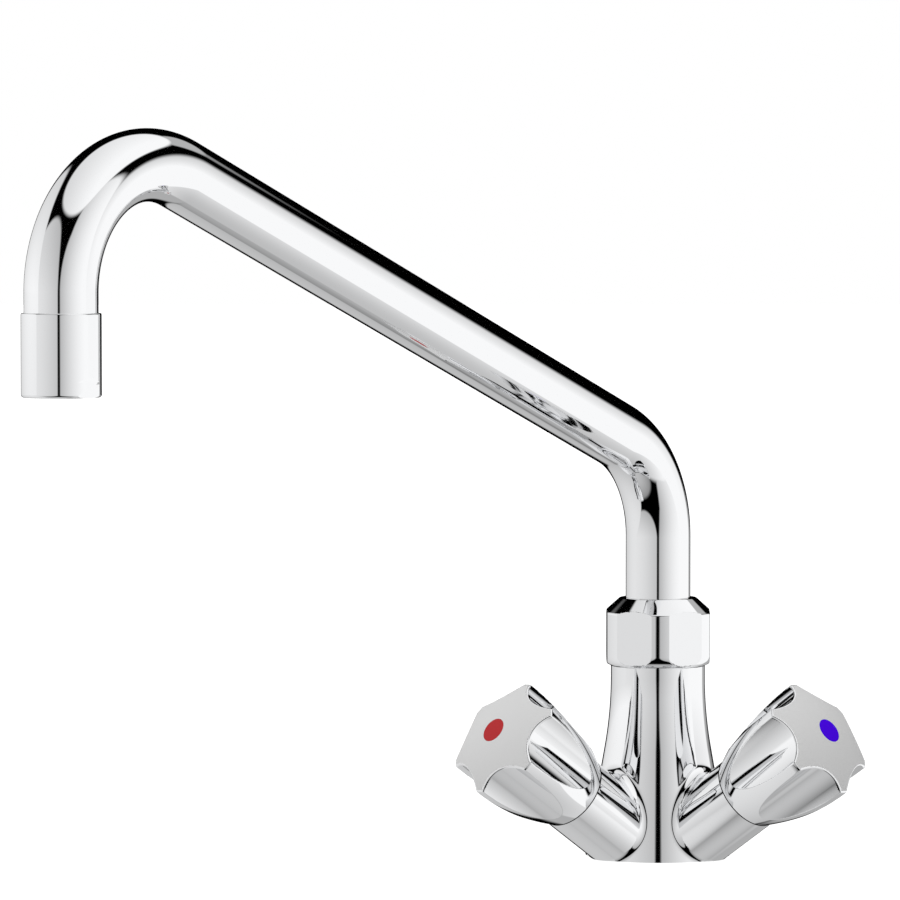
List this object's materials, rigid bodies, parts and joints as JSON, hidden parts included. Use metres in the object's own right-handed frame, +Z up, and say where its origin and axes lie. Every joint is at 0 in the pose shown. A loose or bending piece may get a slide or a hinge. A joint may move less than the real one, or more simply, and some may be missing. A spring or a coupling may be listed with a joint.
{
  "type": "two handle kitchen mixer tap",
  "caption": "Chromed single-hole kitchen mixer tap: flared column, swivelling bent tube spout with aerator, and lobed hot and cold knobs on short angled arms over ceramic disc valves.",
  "frame": {"origin": "centre of the column's base, on the plane of the sink or worktop that it stands on", "axes": "+Z up along the column and the spout's swivel axis, -Y to the front where the user stands, +X to the user's right; the spout stands 38 degrees to the left of the front at rest"},
  "size_m": [0.2614, 0.2688, 0.2432],
  "materials": {
    "chrome": "polished",
    "brass": "satin",
    "steel": "satin",
    "rubber": "matte",
    "ceramic": "satin",
    "acetal": "satin",
    "hot_red": "gloss",
    "cold_blue": "gloss"
  },
  "bodies": {
    "mixer": {"mixer_body": "chrome", "base_seal": "rubber", "spout_nut": "chrome", "hot_headwork": "brass", "hot_headwork_o_ring": "rubber", "hot_seat_seal": "rubber", "hot_fixed_disc": "ceramic", "cold_headwork": "brass", "cold_headwork_o_ring": "rubber", "cold_seat_seal": "rubber", "cold_fixed_disc": "ceramic"},
    "spout": {"spout_tube": "chrome", "spout_tailpiece": "brass", "lower_spout_o_ring": "rubber", "upper_spout_o_ring": "rubber", "spout_slide_ring": "acetal", "aerator_housing": "chrome", "aerator_insert": "acetal", "aerator_washer": "rubber", "aerator_screen": "steel"},
    "hot_handle": {"hot_moving_disc": "ceramic", "hot_spindle": "brass", "hot_outer_spindle_o_ring": "rubber", "hot_inner_spindle_o_ring": "rubber", "hot_spindle_clip": "steel", "hot_knob": "chrome", "hot_knob_screw": "steel", "hot_index_button": "hot_red"},
    "cold_handle": {"cold_moving_disc": "ceramic", "cold_spindle": "brass", "cold_outer_spindle_o_ring": "rubber", "cold_inner_spindle_o_ring": "rubber", "cold_spindle_clip": "steel", "cold_knob": "chrome", "cold_knob_screw": "steel", "cold_index_button": "cold_blue"}
  },
  "joints": [
    {"name": "spout_swivel", "type": "hinge", "parent": "mixer", "child": "spout", "pos_m": [0, 0, 0], "axis": [0, 0, 1], "continuous": true},
    {"name": "hot_turn", "type": "hinge", "parent": "mixer", "child": "hot_handle", "pos_m": [0, 0, -0.0022], "axis": [-0.6304, -0.5384, 0.5592], "range_deg": [0, 180]},
    {"name": "cold_turn", "type": "hinge", "parent": "mixer", "child": "cold_handle", "pos_m": [0, 0, -0.0022], "axis": [0.6304, -0.5384, 0.5592], "range_deg": [0, 180]}
  ]
}
